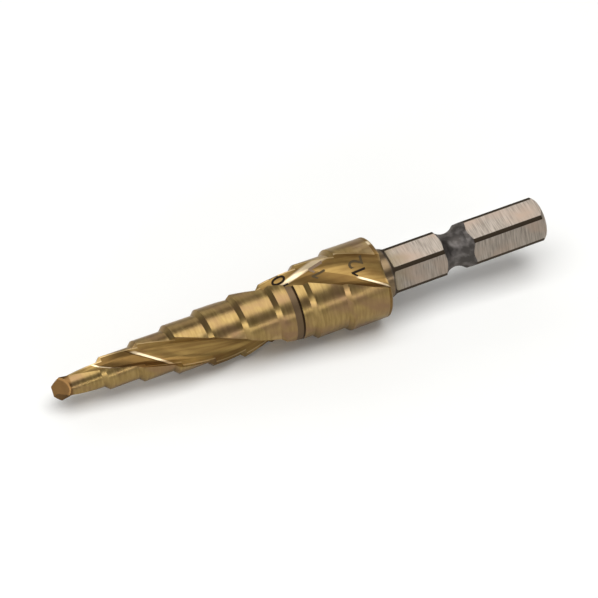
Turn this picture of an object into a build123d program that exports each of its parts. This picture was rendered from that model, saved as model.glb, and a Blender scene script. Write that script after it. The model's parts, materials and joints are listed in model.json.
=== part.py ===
from build123d import *
import os
from math import cos, radians, sin, sqrt, tan

# Step drill: one bar of high speed steel, turned, fluted and ground in one piece.
# It is built along its own axis, from the point (axial 0) to the end of the shank, with that
# axis leaning the way the drill comes to rest on a table, and is then moved onto Z = 0.

# Steps, in millimetres
point_diameter = 4.0        # the first land, which drills the pilot hole
largest_diameter = 12.0
diameter_step = 1.0
first_land_length = 6.62    # with the point
land_length = 4.97
last_land_length = 6.59
step_lead_in = 0.6          # axial length of the chamfer that cuts each step
back_taper = 0.06           # radius lost along a land
relief_throw = 0.13         # of the cam that backs each land off behind its cutting edge
lead_in_throw = 0.36        # of the cam that backs off its chamfer
rear_chamfer = 0.3

# Ring groove that marks the working depth
stop_diameter = 10.0        # the land that carries it
stop_groove_start = 2.45    # from the front of its land
stop_groove_width = 1.2
stop_groove_depth = 0.28

# Drill point
flank_slope = 47.8          # degrees, fall of each flank away from the chisel edge
flank_angle = 9.0           # degrees, direction of that fall about the axis

# Two right-hand flutes
lead_at_point = 47.3
lead_at_rear = 83.5
flute_start_angle = -107.0  # degrees, middle of a flute at the very point
core_at_point = 0.55        # from the axis to the floor of the flute
core_taper = 0.052          # rise of the floor for each millimetre of length
run_out_start = 30.0
run_out_radius = 110.0      # of the wheel's rise out of the flute
floor_width_at_point = 0.5
floor_widening = 0.09       # for each millimetre of length
floor_dish = 0.14           # of the floor's half width
floor_corner = 0.8          # radius, of the floor's half width
rake_lean_at_point = 62.0   # degrees, wall under the cutting edge
rake_lean_at_rear = 6.0
heel_lean_at_point = 57.0   # degrees, wall under the heel
heel_lean_at_rear = 42.0
edge_angle_at_point = 44.0  # degrees, from the middle of a flute to its cutting edge
edge_angle_at_rear = 24.0
flute_section_spacing = 3.5
flute_overrun = 0.8

# Hexagon shank, quarter inch across the flats
overall_length = 73.6
shank_across_flats = 6.35
shank_round_diameter = 7.06 # of the bar, which the six flats leave along the corners
collar_length = 1.55        # round stretch between the body and the flats
flat_run_out_radius = 0.5
ball_groove_from_end = 13.9
ball_groove_radius = 2.49
ball_groove_bottom_diameter = 4.84
neck_diameter = 6.3         # short turned neck on the groove's rear side
neck_length = 0.3
neck_shoulder_radius = 0.6
end_dome_length = 0.65      # slightly domed chamfer round the end
end_dome_depth = 0.53
end_dome_bulge = 0.03

# Lie on the table, on the corners of three steps that bridge a flute
nose_dip = 3.25             # degrees, the point is lower than the shank
roll = -49.0                # degrees, about the drill's axis

body_diameters = [point_diameter]
while body_diameters[-1] < largest_diameter - diameter_step / 2:
    body_diameters.append(body_diameters[-1] + diameter_step)

def length_of_land(diameter):
    if diameter == point_diameter:
        return first_land_length
    if diameter == body_diameters[-1]:
        return last_land_length
    return land_length

def start_of_land(diameter):
    return sum(length_of_land(smaller) for smaller in body_diameters if smaller < diameter)

body_length = start_of_land(2 * largest_diameter)

def flute_angle(axial):
    """Angle of a flute's middle: its lead grows evenly from the point to the rear."""
    rate_at_point = 360 / lead_at_point
    rate_at_rear = 360 / lead_at_rear
    slowing = (rate_at_point - rate_at_rear) / (2 * body_length)
    return flute_start_angle + rate_at_point * axial - slowing * axial ** 2

def core_radius(axial):
    lift = max(axial - run_out_start, 0) ** 2 / (2 * run_out_radius)
    return core_at_point + core_taper * axial + lift

def between(at_point, at_rear, axial):
    return at_point + (at_rear - at_point) * axial / body_length

drill_axis = Plane(
    origin=(0, 0, 0),
    x_dir=(0, -1, 0),
    z_dir=(cos(radians(nose_dip)), 0, sin(radians(nose_dip))),
)

def cross_section(angle, axial):
    """Plane square to the drill's axis, turned about it."""
    return Plane(drill_axis.location * Pos(0, 0, axial) * Rot(0, 0, roll + angle))

def meridian(angle, throw):
    """Plane through the drill's axis, its Y along an axis moved out by the throw."""
    return Plane(drill_axis.location * Rot(0, 0, roll + angle) * Pos(throw, 0, 0) * Rot(90, 0, 0))

with BuildPart() as step_drill:
    # Stepped body, the largest land first. Each land is two half turns about axes on either side
    # of the drill's own, so that its radius falls from the cutting edge to the heel; its chamfer
    # is backed off in the same way, and the land in front runs on into it
    for diameter in reversed(body_diameters):
        land_start = start_of_land(diameter)
        land_end = min(land_start + length_of_land(diameter) + step_lead_in, body_length)
        edge_angle = between(edge_angle_at_point, edge_angle_at_rear, land_start)
        land_radius = diameter / 2 - relief_throw * cos(radians(edge_angle))
        lead_in_radius = diameter / 2 - lead_in_throw * cos(radians(edge_angle))
        lead_in_depth = diameter_step / 2 + back_taper
        turn = flute_angle((land_start + land_end) / 2)
        for half_turn in (0, 180):
            section = meridian(turn + half_turn, relief_throw)
            with BuildSketch(section):
                with BuildLine():
                    Polyline(
                        (0, land_start),
                        (land_radius, land_start),
                        (land_radius - back_taper, land_end),
                        (0, land_end),
                        close=True,
                    )
                make_face()
            revolve(axis=Axis(section.origin, section.y_dir), revolution_arc=180)
        for half_turn in (0, 180):
            section = meridian(turn + half_turn, lead_in_throw)
            with BuildSketch(section):
                with BuildLine():
                    Polyline(
                        (lead_in_radius - lead_in_depth, land_start),
                        (lead_in_radius + lead_in_depth, land_start),
                        (lead_in_radius + lead_in_depth, land_start + 2 * step_lead_in),
                        close=True,
                    )
                make_face()
            revolve(
                axis=Axis(section.origin, section.y_dir), revolution_arc=180, mode=Mode.SUBTRACT
            )

    # Flutes: the wheel's outline at even spacings along the drill, turned and lifted as it goes
    section_count = round((body_length + 2 * flute_overrun) / flute_section_spacing)
    for half_turn in (0, 180):
        for index in range(section_count + 1):
            axial = (body_length + 2 * flute_overrun) * index / section_count - flute_overrun
            floor = core_radius(axial)
            half_width = (floor_width_at_point + floor_widening * axial) / 2
            side = floor + floor_dish * half_width
            height = largest_diameter / 2 + 1.5 - side
            rake_run = height * tan(radians(between(rake_lean_at_point, rake_lean_at_rear, axial)))
            heel_run = height * tan(radians(between(heel_lean_at_point, heel_lean_at_rear, axial)))
            with BuildSketch(cross_section(flute_angle(axial) + half_turn, axial)):
                with BuildLine():
                    ThreePointArc((side, -half_width), (floor, 0), (side, half_width))
                    Polyline(
                        (side, half_width),
                        (side + height, half_width + rake_run),
                        (side + height, -half_width - heel_run),
                        (side, -half_width),
                    )
                make_face()
                fillet(vertices().sort_by(Axis.X)[:2], floor_corner * half_width)
        loft(mode=Mode.SUBTRACT)

    # Point: two flat flanks that meet in the chisel edge
    for half_turn in (0, 180):
        across_fall = cross_section(flank_angle + half_turn, 0)
        split(bisect_by=Plane(across_fall.location * Rot(0, -flank_slope, 0)), keep=Keep.TOP)

    # Ring groove and the chamfer round the rear of the body
    groove_front = start_of_land(stop_diameter) + stop_groove_start
    with BuildSketch(meridian(0, 0)):
        with Locations((stop_diameter / 2 - stop_groove_depth, groove_front)):
            Rectangle(largest_diameter, stop_groove_width, align=(Align.MIN, Align.MIN))
    revolve(axis=Axis(drill_axis.origin, drill_axis.z_dir), mode=Mode.SUBTRACT)
    with BuildSketch(meridian(0, 0)):
        with BuildLine():
            Polyline(
                (largest_diameter / 2 - back_taper - rear_chamfer, body_length),
                (largest_diameter / 2 - back_taper + rear_chamfer, body_length),
                (largest_diameter / 2 - back_taper + rear_chamfer, body_length - 2 * rear_chamfer),
                close=True,
            )
        make_face()
    revolve(axis=Axis(drill_axis.origin, drill_axis.z_dir), mode=Mode.SUBTRACT)

    # Shank: a round bar with six flats ground along it, each one running out in the wheel's curve
    bar_radius = shank_round_diameter / 2
    flat_radius = shank_across_flats / 2
    with BuildSketch(meridian(0, 0)):
        with BuildLine():
            Polyline(
                (bar_radius - end_dome_depth, overall_length),
                (0, overall_length),
                (0, body_length - 1),
                (bar_radius, body_length - 1),
                (bar_radius, overall_length - end_dome_length),
            )
            SagittaArc(
                (bar_radius, overall_length - end_dome_length),
                (bar_radius - end_dome_depth, overall_length),
                -end_dome_bulge,
            )
        make_face()
    revolve(axis=Axis(drill_axis.origin, drill_axis.z_dir))
    flats_start = body_length + collar_length
    flat_rise = bar_radius - flat_radius + 0.2
    run_out_length = sqrt(flat_run_out_radius ** 2 - (flat_run_out_radius - flat_rise) ** 2)
    for corner in range(6):
        with BuildSketch(meridian(60 * corner + 30, 0)):
            with BuildLine():
                Polyline(
                    (flat_radius, flats_start + run_out_length),
                    (flat_radius, overall_length + 1),
                    (flat_radius + flat_rise, overall_length + 1),
                    (flat_radius + flat_rise, flats_start),
                )
                RadiusArc(
                    (flat_radius + flat_rise, flats_start),
                    (flat_radius, flats_start + run_out_length),
                    flat_run_out_radius,
                )
            make_face()
        extrude(amount=flat_radius, both=True, mode=Mode.SUBTRACT)

    # Ball groove: a round bottom, and behind it a short neck whose shoulder meets the flats
    groove_middle = overall_length - ball_groove_from_end
    groove_centre = ball_groove_bottom_diameter / 2 + ball_groove_radius
    neck_radius = neck_diameter / 2
    neck_start = groove_middle + sqrt(ball_groove_radius ** 2 - (groove_centre - neck_radius) ** 2)
    neck_end = neck_start + neck_length
    with BuildSketch(meridian(0, 0)):
        with BuildLine():
            ThreePointArc(
                (groove_centre, groove_middle - ball_groove_radius),
                (ball_groove_bottom_diameter / 2, groove_middle),
                (neck_radius, neck_start),
            )
            Line((neck_radius, neck_start), (neck_radius, neck_end))
            RadiusArc(
                (neck_radius, neck_end),
                (neck_radius + neck_shoulder_radius, neck_end + neck_shoulder_radius),
                neck_shoulder_radius,
            )
            Polyline(
                (neck_radius + neck_shoulder_radius, neck_end + neck_shoulder_radius),
                (groove_centre, neck_end + neck_shoulder_radius),
                (groove_centre, groove_middle - ball_groove_radius),
            )
        make_face()
    revolve(axis=Axis(drill_axis.origin, drill_axis.z_dir), mode=Mode.SUBTRACT)

lying = step_drill.part.bounding_box()
step_drill.part.position -= (lying.center().X, lying.center().Y, lying.min.Z)
step_drill.part.label = "step_drill"
os.makedirs("parts", exist_ok=True)
export_step(step_drill.part, "parts/step_drill.step")
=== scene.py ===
import bmesh
import bpy
import json
from math import atan, pi, radians
from mathutils import Euler, Matrix, Quaternion, Vector


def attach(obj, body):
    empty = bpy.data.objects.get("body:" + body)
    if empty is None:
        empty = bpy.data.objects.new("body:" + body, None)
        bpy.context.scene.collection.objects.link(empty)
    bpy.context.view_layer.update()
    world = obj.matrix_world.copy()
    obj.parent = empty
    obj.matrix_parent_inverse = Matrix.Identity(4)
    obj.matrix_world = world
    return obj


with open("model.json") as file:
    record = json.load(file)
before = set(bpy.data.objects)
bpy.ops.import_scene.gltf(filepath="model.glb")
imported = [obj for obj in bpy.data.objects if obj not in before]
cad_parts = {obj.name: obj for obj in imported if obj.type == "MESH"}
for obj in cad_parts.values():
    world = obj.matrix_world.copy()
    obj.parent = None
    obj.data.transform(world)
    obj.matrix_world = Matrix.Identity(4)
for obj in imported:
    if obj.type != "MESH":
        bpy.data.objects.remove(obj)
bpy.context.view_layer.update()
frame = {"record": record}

# --- Drill: one bar of high speed steel, turned, fluted and ground.
# The stepped body carries a gold titanium nitride coat a few thousandths of a millimetre thick,
# laid over the grinding marks. The hexagon shank behind it is bare.
drill_length = 0.0736
mounts = {mount["name"]: mount for mount in frame["record"]["mounts"]}
rearwards = Vector(mounts["shank_end"]["axis"])
point = Vector(mounts["shank_end"]["pos_m"]) - drill_length * rearwards
near_corner = Quaternion(rearwards, radians(-30)) @ Vector(mounts["shank_flat"]["axis"])
below = rearwards.cross(near_corner)
drill_axes = Matrix((near_corner, below, rearwards)).transposed()

# Titanium nitride is a thin metallic film, so the coated steel shines as bare steel does, with a
# gold tint: brighter on the ground lands, duller in the flutes and rougher in the ring groove.
drill_steel = bpy.data.materials.new("titanium nitride on ground high speed steel")
drill_steel.use_nodes = True
drill_shader = drill_steel.node_tree.nodes["Principled BSDF"]


def linear(colour):
    """Linear red, green, blue and alpha of an sRGB hex colour."""
    parts = [int(colour[place:place + 2], 16) / 255 for place in (1, 3, 5)]
    return [
        part / 12.92 if part <= 0.04045 else ((part + 0.055) / 1.055) ** 2.4 for part in parts
    ] + [1]


def add_node(kind, inputs=(), **settings):
    """First output of a new node in the drill's material; inputs are values or other outputs."""
    node = drill_steel.node_tree.nodes.new("ShaderNode" + kind)
    for name, setting in settings.items():
        setattr(node, name, setting)
    for socket, value in inputs.items() if isinstance(inputs, dict) else enumerate(inputs):
        if isinstance(value, bpy.types.NodeSocket):
            drill_steel.node_tree.links.new(value, node.inputs[socket])
        else:
            node.inputs[socket].default_value = value
    return node.outputs[0]


# Places on the drill, in millimetres: axial from the point, radius from the axis.
in_drill = add_node(
    "Mapping", {
        "Vector": add_node("TexCoord").node.outputs["Object"],
        "Location": point,
        "Rotation": drill_axes.to_euler(),
        "Scale": (0.001, 0.001, 0.001),
    }, vector_type="TEXTURE",
)
across, down, axial = add_node("SeparateXYZ", (in_drill,)).node.outputs
across_squared = add_node("Math", (across, 2.0), operation="POWER")
down_squared = add_node("Math", (down, 2.0), operation="POWER")
radius = add_node("Math", (across_squared, down_squared), operation="ADD")
radius = add_node("Math", (radius,), operation="SQRT")
body_end = 47.95
shank_start = 48.05

# The lands grow by half a millimetre in radius every 4.97 mm, and whatever lies well below the
# land of its stretch was cut by the flute wheel. The rear face of the body isn't such a cut.
first_chamfer_end = 7.67
land_length = 4.97
first_land_radius = 2.0
steps_passed = add_node(
    "Math", (axial, 1 / land_length, 1 - first_chamfer_end / land_length), operation="MULTIPLY_ADD",
)
steps_passed = add_node("Math", (steps_passed,), operation="FLOOR")
steps_passed = add_node("Math", (steps_passed, 0.0), operation="MAXIMUM")
land_radius = add_node("Math", (steps_passed, 0.5, first_land_radius), operation="MULTIPLY_ADD")
below_land = add_node("Math", (land_radius, radius), operation="SUBTRACT")
in_cut = add_node("MapRange", (below_land, 0.26, 0.34))
ahead_of_rear_face = add_node("MapRange", (axial, body_end - 0.05, body_end - 0.25))
in_cut = add_node("Math", (in_cut, ahead_of_rear_face), operation="MULTIPLY")

# The flutes' own frame turns with them, by fewer degrees a millimetre towards the rear.
flute_start_angle = -107.0
twist_at_point = 7.611
twist_change = -0.0343
flute_turn = add_node("Math", (axial, twist_change, twist_at_point), operation="MULTIPLY_ADD")
flute_turn = add_node("Math", (flute_turn, axial, flute_start_angle), operation="MULTIPLY_ADD")
flute_turn = add_node("Math", (flute_turn, -pi / 180), operation="MULTIPLY")
in_flute = add_node(
    "VectorRotate", {"Vector": in_drill, "Angle": flute_turn}, rotation_type="Z_AXIS",
)
out_of_flute, over_flute, _ = add_node("SeparateXYZ", (in_flute,)).node.outputs
flute_side = add_node("Math", (out_of_flute,), operation="SIGN")
towards_edge = add_node("Math", (over_flute, flute_side), operation="MULTIPLY")


def past_line(slope, start):
    """Distance towards the cutting edge from a line that crosses the flute at an even slope."""
    line = add_node("Math", (axial, slope, start), operation="MULTIPLY_ADD")
    return add_node("Math", (towards_edge, line), operation="SUBTRACT")


def band(distance, half_width):
    """1 along the middle of a line, fading out at its sides."""
    away = add_node("Math", (distance,), operation="ABSOLUTE")
    return add_node("MapRange", (away, half_width * 1.3, half_width * 0.6))


# Painted highlights: bright lines, laid on as colour, where a glossy flute reflects the lights.
# Two cross the flute near the point, one near the rear, and a broad one runs under the heel.
first_highlight_path = past_line(0.78, -5.95)
second_highlight_path = past_line(0.594, -8.07)
rear_highlight_path = past_line(0.46, -20.04)
heel_highlight_path = past_line(-0.235, 6.68)
second_highlight_path_start = add_node("MapRange", (towards_edge, -1.1, -0.8))
rear_highlight_path_start = add_node("MapRange", (axial, 44.2, 44.9))
heel_highlight_path_start = add_node("MapRange", (axial, 33.0, 36.0))
first_highlight_band = band(first_highlight_path, 0.13)
second_highlight_band = add_node("Math", (band(second_highlight_path, 0.2), second_highlight_path_start), operation="MULTIPLY")
rear_highlight_band = add_node("Math", (band(rear_highlight_path, 0.19), rear_highlight_path_start), operation="MULTIPLY")
heel_highlight_band = add_node("Math", (band(heel_highlight_path, 0.3), heel_highlight_path_start), operation="MULTIPLY")
painted_highlights = add_node("Math", (first_highlight_band, second_highlight_band), operation="MAXIMUM")
painted_highlights = add_node("Math", (painted_highlights, rear_highlight_band), operation="MAXIMUM")
painted_highlights = add_node("Math", (painted_highlights, heel_highlight_band), operation="MAXIMUM")

# Painted shade: a thin dark line along the foot of two of the highlights.
second_shade_line = add_node("Math", (second_highlight_path, 0.3), operation="SUBTRACT")
rear_shade_line = add_node("Math", (rear_highlight_path, 0.34), operation="SUBTRACT")
rear_shade_line = add_node("Math", (band(rear_shade_line, 0.09), rear_highlight_path_start), operation="MULTIPLY")
painted_shade_lines = add_node("Math", (band(second_shade_line, 0.08), rear_shade_line), operation="MAXIMUM")

# Painted shade: the faces between the highlight lines are darker near the point and towards the
# rear.
past_second = add_node("Math", (second_highlight_path, 0.0), operation="GREATER_THAN")
before_first = add_node("Math", (first_highlight_path, 0.0), operation="LESS_THAN")
shaded_front_face = add_node("Math", (past_second, before_first), operation="MULTIPLY")
past_rear = add_node("Math", (rear_highlight_path, 0.0), operation="GREATER_THAN")
rear_face = add_node("MapRange", (axial, 34.5, 38.0, 0.0, 0.95))
rear_face = add_node("Math", (past_rear, rear_face), operation="MULTIPLY")
shaded_rear_floor = add_node("MapRange", (axial, 39.0, 43.0, 0.0, 0.45))
painted_shade_face = add_node("Math", (shaded_front_face, rear_face), operation="MAXIMUM")
painted_shade_face = add_node("Math", (painted_shade_face, shaded_rear_floor), operation="MAXIMUM")

# Chips have worn the coat paler just inside the edge of each flute, behind the point; the pale band
# is also a painted highlight along that edge.
worn_and_highlit_edge = add_node("Math", (below_land, 0.34), operation="SUBTRACT")
behind_point = add_node("MapRange", (axial, 2.2, 2.8))
worn_and_highlit_edge = add_node("Math", (band(worn_and_highlit_edge, 0.09), behind_point), operation="MULTIPLY")


def marks(waves, detail):
    """Uneven marks that follow the flutes, with so many to a millimetre along each axis."""
    scaled = add_node("VectorMath", (in_flute, waves), operation="MULTIPLY")
    return add_node("TexNoise", {"Vector": scaled, "Scale": 1.0, "Detail": detail})


# Grinding leaves rings round the lands and lines across the flats a few hundredths of a
# millimetre apart. They are drawn about 0.4 and 0.2 mm apart, because finer ones don't show.
# The streaks along the flutes are as far apart as the coarsest real ones, about 0.6 mm.
grinding = marks((0.4, 0.4, 2.6), 3.0)
flat_grinding = marks((0.5, 0.5, 5.5), 2.0)
streaks = marks((1.6, 1.6, 0.12), 3.0)
blotches = marks((0.35, 0.35, 0.22), 2.0)

land_gold = add_node(
    "MixRGB", (add_node("MapRange", (grinding, 0.35, 0.7)), linear("#836C42"), linear("#9B8353")),
)
land_blotches = add_node("MapRange", (blotches, 0.45, 0.7))
land_gold = add_node("MixRGB", (land_blotches, land_gold, linear("#83684B")))

cut_gold = add_node(
    "MixRGB", (add_node("MapRange", (streaks, 0.35, 0.65)), linear("#84683C"), linear("#A1854F")),
)
cut_blotches = add_node("MapRange", (blotches, 0.5, 0.72))
cut_gold = add_node("MixRGB", (cut_blotches, cut_gold, linear("#7A5A3A")))
# Painted shade: a darker gold for the shaded faces of the flutes.
shaded_gold = add_node("MixRGB", (streaks, linear("#5E4526"), linear("#7C6238")))
cut_gold = add_node("MixRGB", (painted_shade_face, cut_gold, shaded_gold))
# The painted highlights, the painted shade lines and the worn, highlit edge go over the flute's
# gold.
for lines, strength, colour in (
    (painted_highlights, 0.9, "#F2DDB8"),
    (painted_shade_lines, 0.7, "#3C2A16"),
    (worn_and_highlit_edge, 0.65, "#D8BC8A"),
):
    amount = add_node("Math", (lines, strength), operation="MULTIPLY")
    cut_gold = add_node("MixRGB", (amount, cut_gold, linear(colour)))
gold = add_node("MixRGB", (in_cut, land_gold, cut_gold))

# The two facets of the point are coloured a darker brown.
point_cone = add_node("Math", (radius, -0.6, axial), operation="MULTIPLY_ADD")
off_point = add_node("MapRange", (point_cone, 1.1, 1.3))
gold = add_node("MixRGB", (off_point, linear("#6B5030"), gold))

# The ring groove's floor has a dull dark finish; the near-black band against its rear wall is
# painted shade.
groove_length = add_node("Math", (axial, 34.52, 0.6), operation="COMPARE")
groove_floor = add_node("Math", (radius, 4.72, 0.12), operation="COMPARE")
in_ring = add_node("Math", (groove_length, groove_floor), operation="MULTIPLY")
gold = add_node("MixRGB", (in_ring, gold, linear("#66543F")))
rear_wall_length = add_node("Math", (axial, 35.02, 0.13), operation="COMPARE")
rear_wall_height = add_node("Math", (radius, 4.8, 0.21), operation="COMPARE")
ring_rear_shade = add_node("Math", (rear_wall_length, rear_wall_height), operation="MULTIPLY")
gold = add_node("MixRGB", (ring_rear_shade, gold, linear("#35281A")))

# The shank is bare steel, ground on its flats, with a breath of the coat at their front ends
# and more of it on the collar.
flat_start = 49.5
flat_lines = add_node("MapRange", (flat_grinding, 0.3, 0.7))
steel = add_node("MixRGB", (flat_lines, linear("#7B7268"), linear("#A3998E")))
flat_blotches = add_node("MapRange", (blotches, 0.45, 0.75))
steel = add_node("MixRGB", (flat_blotches, steel, linear("#9C8A7B")))
overspray = add_node("Math", (blotches, -5.0, axial), operation="MULTIPLY_ADD")
overspray = add_node("MapRange", (overspray, 49.4, 46.2))
steel = add_node("MixRGB", (overspray, steel, linear("#77694A")))
collar_steel = add_node("MixRGB", (streaks, linear("#5C4C34"), linear("#7F6D56")))
on_collar = add_node("Math", (axial, flat_start), operation="LESS_THAN")
steel = add_node("MixRGB", (on_collar, steel, collar_steel))


def inside_round(axial_middle, radius_middle, round_radius):
    """1 inside a round of the turned outline, given by its middle and its radius."""
    along = add_node("Math", (axial, axial_middle), operation="SUBTRACT")
    along = add_node("Math", (along, 2.0), operation="POWER")
    outwards = add_node("Math", (radius, radius_middle), operation="SUBTRACT")
    outwards = add_node("Math", (outwards, 2.0), operation="POWER")
    away = add_node("Math", (along, outwards), operation="ADD")
    away = add_node("Math", (away,), operation="SQRT")
    return add_node("Math", (away, round_radius), operation="LESS_THAN")


# What was turned and never ground keeps its dark scale: the corners of the hexagon, and the
# ball groove with the neck and the shoulder behind it.
corner_height = add_node("MapRange", (radius, 3.49, 3.515))
corner_length = add_node("MapRange", (axial, flat_start - 0.2, flat_start + 0.1))
corner = add_node("Math", (corner_height, corner_length), operation="MULTIPLY")
neck = add_node("Math", (axial, 61.6, 0.22), operation="COMPARE")
unground = add_node("Math", (corner, neck), operation="MAXIMUM")
for turned in (inside_round(59.7, 4.91, 2.52), inside_round(61.77, 3.75, 0.63)):
    unground = add_node("Math", (unground, turned), operation="MAXIMUM")
scale_grain = add_node("MapRange", (marks((0.9, 0.9, 0.9), 2.0), 0.4, 0.7))
scale = add_node("MixRGB", (scale_grain, linear("#4B4744"), linear("#75706D")))
scale = add_node("MixRGB", (corner, scale, linear("#3C3329")))
steel = add_node("MixRGB", (unground, steel, scale))

on_shank = add_node("MapRange", (axial, body_end, shank_start))
drill_colour = add_node("MixRGB", (on_shank, gold, steel))
drill_steel.node_tree.links.new(drill_colour, drill_shader.inputs["Base Color"])

ground_roughness = 0.28
roughness = add_node(
    "MapRange", (grinding, 0.3, 0.7, ground_roughness, ground_roughness + 0.05),
)
roughness = add_node("Math", (in_cut, 0.14, roughness), operation="MULTIPLY_ADD")
dull = add_node("Math", (unground, in_ring), operation="MAXIMUM")
dull = add_node("Math", (dull, 0.5), operation="MULTIPLY")
roughness = add_node("Math", (roughness, dull), operation="MAXIMUM")
drill_steel.node_tree.links.new(roughness, drill_shader.inputs["Roughness"])
drill_shader.inputs["Metallic"].default_value = 1
drill_shader.inputs["Specular Tint"].default_value = linear("#EDE8E2")
drill = bpy.data.objects["step_drill"]
drill.data.materials[0] = drill_steel

# --- Size numerals: 10, 11 and 12, marked by a laser in the face of one flute.
# The laser turns the coat to a dark oxide. Each numeral is read with the point upwards, about
# two millimetres high; those in the middle are worn by the chips that run over them.
numeral_height = 0.0019
numeral_thickness = 0.02        # of the letters as drawn, in their own units
mark_proud = 0.000016
mark_sunk = 0.00004
flagged_one = (
    (-0.06, -0.01), (0.06, -0.01), (0.06, 0.69), (-0.03, 0.69),
    (-0.26, 0.5), (-0.22, 0.42), (-0.06, 0.54),
)

# An oxide is no metal: it is matt and reflects little. Wear thins it until the gold shows.
fresh_mark = bpy.data.materials.new("dark laser oxide")
worn_mark = bpy.data.materials.new("worn laser oxide")
faint_mark = bpy.data.materials.new("laser oxide worn to a tint")
for mark, shade in ((fresh_mark, "#20150A"), (worn_mark, "#54462F"), (faint_mark, "#8D7762")):
    mark.use_nodes = True
    mark_shader = mark.node_tree.nodes["Principled BSDF"]
    mark_shader.inputs["Base Color"].default_value = linear(shade)
    mark_shader.inputs["Roughness"].default_value = 0.75
    mark_shader.inputs["Specular IOR Level"].default_value = 0.15

for name, digit, axial_place, facing, offset, mark in (
    ("numeral_10_tens", "1", 0.03495, -22, 0.00275, fresh_mark),
    ("numeral_10_units", "0", 0.03495, -22, 0.00385, fresh_mark),
    ("numeral_11_tens", "1", 0.03995, -28, 0.00183, worn_mark),
    ("numeral_11_units", "1", 0.03995, -28, 0.00292, faint_mark),
    ("numeral_12_tens", "1", 0.04485, -12, 0.00071, fresh_mark),
    ("numeral_12_units", "2", 0.04485, -12, 0.00190, worn_mark),
):
    shape = bmesh.new()
    if digit == "1":
        corners = [shape.verts.new((x, y, -numeral_thickness / 2)) for x, y in flagged_one]
        raised = bmesh.ops.extrude_face_region(shape, geom=[shape.faces.new(corners)])["geom"]
        raised = [part for part in raised if isinstance(part, bmesh.types.BMVert)]
        bmesh.ops.translate(shape, verts=raised, vec=(0, 0, numeral_thickness))
    else:
        curve = bpy.data.curves.new(name, "FONT")
        curve.body = digit
        curve.align_x = "CENTER"
        curve.extrude = numeral_thickness / 2
        curve.offset = 0.012
        text = bpy.data.objects.new(name, curve)
        bpy.context.scene.collection.objects.link(text)
        drawn = bpy.data.meshes.new_from_object(text)
        shape.from_mesh(drawn)
        bpy.data.objects.remove(text)
        bpy.data.meshes.remove(drawn)
    bmesh.ops.remove_doubles(shape, verts=shape.verts, dist=1e-5)
    bmesh.ops.triangulate(shape, faces=shape.faces)
    bmesh.ops.subdivide_edges(shape, edges=shape.edges, cuts=2, use_grid_fill=True)

    # Each point is brought down onto the flute, along the way that the numeral faces.
    top = max(vertex.co.y for vertex in shape.verts)
    foot = min(vertex.co.y for vertex in shape.verts)
    shrink = numeral_height / (top - foot)
    outwards = Quaternion(rearwards, radians(facing)) @ near_corner
    reading = outwards.cross(rearwards)
    for vertex in shape.verts:
        along = axial_place - (vertex.co.y - (top + foot) / 2) * shrink
        aside = offset + vertex.co.x * shrink
        height = (vertex.co.z / numeral_thickness + 0.5) * (mark_proud + mark_sunk) - mark_sunk
        clear = point + along * rearwards + aside * reading + 0.02 * outwards
        _, surface, _, _ = drill.ray_cast(clear, -outwards)
        vertex.co = surface + height * outwards
    bmesh.ops.recalc_face_normals(shape, faces=shape.faces)
    if shape.calc_volume(signed=True) < 0:
        bmesh.ops.reverse_faces(shape, faces=shape.faces)
    mesh = bpy.data.meshes.new(name)
    shape.to_mesh(mesh)
    shape.free()
    mesh.materials.append(mark)
    numeral = bpy.data.objects.new(name, mesh)
    bpy.context.scene.collection.objects.link(numeral)
    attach(numeral, "root")

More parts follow.
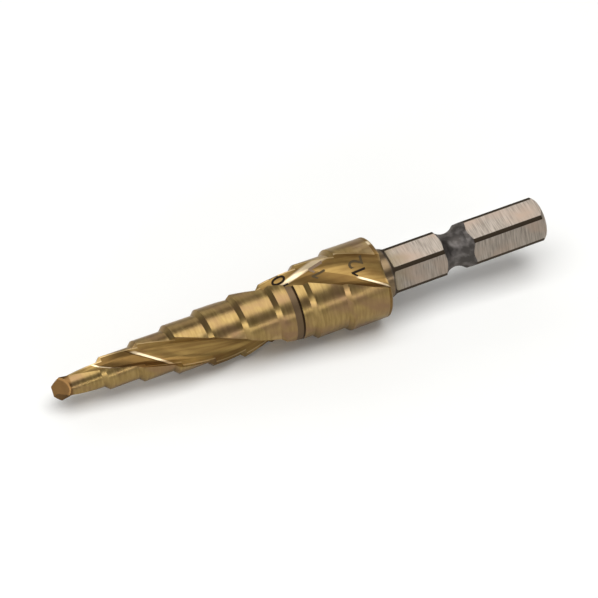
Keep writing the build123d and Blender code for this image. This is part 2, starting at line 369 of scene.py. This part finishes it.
# --- Floor: a board two metres square under the drill, in matt white paint.
# The paint is white and has no shine, so that the drill's soft shadow is all that shows on it.
shape = bmesh.new()
bmesh.ops.create_grid(shape, x_segments=1, y_segments=1, size=1)
floor_mesh = bpy.data.meshes.new("floor")
shape.to_mesh(floor_mesh)
shape.free()
floor_paint = bpy.data.materials.new("matt white paint")
floor_paint.use_nodes = True
floor_shader = floor_paint.node_tree.nodes["Principled BSDF"]
floor_shader.inputs["Base Color"].default_value = linear("#F2F2F0")
floor_shader.inputs["Roughness"].default_value = 0.8
floor_mesh.materials.append(floor_paint)
floor = bpy.data.objects.new("floor", floor_mesh)
bpy.context.scene.collection.objects.link(floor)

# --- Lights: soft ones, half a metre from the middle of the drill, in a pale room.
# The overhead softbox fills the upper side, the strip makes the thin bright line along the
# lands, and two cards brighten the far rim and the chamfers of the steps.
light_distance = 0.5
for name, towards, width, length, power in (
    ("overhead softbox", (0.79, -0.62, 0), 0.44, 0.8, 2.9),
    ("strip light", (0.85, 0.53, 0), 0.03, 0.6, 0.55),
    ("back card", (-0.26, -0.97, 0), 0.3, 0.8, 0.6),
    ("front card", (0.33, 0.24, -0.93), 0.13, 0.13, 0.4),
):
    light = bpy.data.lights.new(name, "AREA")
    light.shape = "RECTANGLE"
    light.size = width
    light.size_y = length
    light.energy = power
    outwards = (drill_axes @ Vector(towards)).normalized()
    sideways = rearwards.cross(outwards).normalized()
    turned = Matrix((sideways, outwards.cross(sideways), outwards)).transposed().to_4x4()
    place = point + drill_length / 2 * rearwards + light_distance * outwards
    softbox = bpy.data.objects.new(name, light)
    softbox.matrix_world = Matrix.Translation(place) @ turned
    bpy.context.scene.collection.objects.link(softbox)

world = bpy.data.worlds.new("pale room")
world.use_nodes = True
world.node_tree.nodes["Background"].inputs["Color"].default_value = linear("#E8E8E8")
world.node_tree.nodes["Background"].inputs["Strength"].default_value = 0.36
bpy.context.scene.world = world
bpy.context.scene.view_settings.view_transform = "Standard"

# --- Camera: a long lens, 0.4 m ahead of the drill's near corner and a little past its point.
# Its place and aim are given in the drill's frame: towards the lens, below, and rearwards.
lens_place = Vector((0.38246, 0, -0.08756))
lens_aim = Euler((radians(134.04), radians(-63.61), radians(49.19)))
frame_width = 598
frame_distance = 2950
lens = bpy.data.cameras.new("lens")
lens.sensor_width = 36
lens.angle = 2 * atan(frame_width / 2 / frame_distance)
camera = bpy.data.objects.new("camera", lens)
camera.matrix_world = (
    Matrix.Translation(point + drill_axes @ lens_place)
    @ (drill_axes @ lens_aim.to_matrix()).to_4x4()
)
bpy.context.scene.collection.objects.link(camera)
bpy.context.scene.camera = camera
